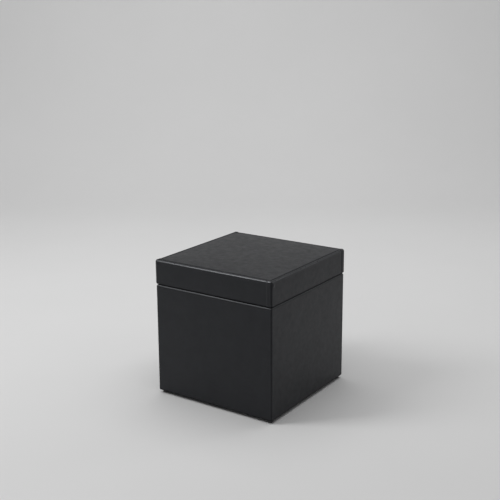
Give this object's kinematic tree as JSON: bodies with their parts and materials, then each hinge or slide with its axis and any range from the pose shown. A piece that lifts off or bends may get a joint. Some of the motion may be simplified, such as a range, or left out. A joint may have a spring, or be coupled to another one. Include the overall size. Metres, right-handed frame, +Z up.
{
  "type": "storage ottoman",
  "caption": "Upholstered black cube stool with a loose lift-off lid over a lined storage box, standing on small round glides.",
  "frame": {"origin": "centre of the footprint at floor level", "axes": "+Z up through the seat; -Y is the front; the cube is the same on all four sides"},
  "size_m": [0.4, 0.4, 0.41],
  "materials": {
    "black_leatherette": "satin",
    "dust_cloth": "matte",
    "fibreboard": "matte",
    "softwood": "matte",
    "stained_batten": "satin",
    "wadding": "matte",
    "foam": "matte",
    "lining_cloth": "matte",
    "glide_plastic": "satin",
    "screw_steel": "satin",
    "staple_steel": "polished"
  },
  "bodies": {
    "box": {"back_cover": "black_leatherette", "back_lining": "lining_cloth", "back_panel": "fibreboard", "back_wadding": "wadding", "base_screws": "screw_steel", "bottom_panel": "fibreboard", "corner_screws": "screw_steel", "cover_staples": "staple_steel", "dust_cover": "dust_cloth", "dust_cover_staples": "staple_steel", "floor_lining": "lining_cloth", "front_cover": "black_leatherette", "front_lining": "lining_cloth", "front_panel": "fibreboard", "front_wadding": "wadding", "glide_back_left": "glide_plastic", "glide_back_right": "glide_plastic", "glide_front_left": "glide_plastic", "glide_front_right": "glide_plastic", "glide_screws": "screw_steel", "left_cover": "black_leatherette", "left_lining": "lining_cloth", "left_panel": "fibreboard", "left_wadding": "wadding", "lining_staples": "staple_steel", "right_cover": "black_leatherette", "right_lining": "lining_cloth", "right_panel": "fibreboard", "right_wadding": "wadding"},
    "lid": {"batten_screws": "screw_steel", "lid_back_band": "black_leatherette", "lid_back_batten": "stained_batten", "lid_back_rail": "softwood", "lid_back_wadding": "wadding", "lid_board": "fibreboard", "lid_board_screws": "screw_steel", "lid_front_band": "black_leatherette", "lid_front_batten": "stained_batten", "lid_front_rail": "softwood", "lid_front_wadding": "wadding", "lid_left_band": "black_leatherette", "lid_left_batten": "stained_batten", "lid_left_rail": "softwood", "lid_left_wadding": "wadding", "lid_lining": "lining_cloth", "lid_right_band": "black_leatherette", "lid_right_batten": "stained_batten", "lid_right_rail": "softwood", "lid_right_wadding": "wadding", "lid_staples": "staple_steel", "seat_cover": "black_leatherette", "seat_foam": "foam"}
  },
  "joints": [
    {"name": "lid_lift", "type": "slide", "parent": "box", "child": "lid", "axis": [0, 0, 1], "range_m": [0, 0.4]}
  ]
}
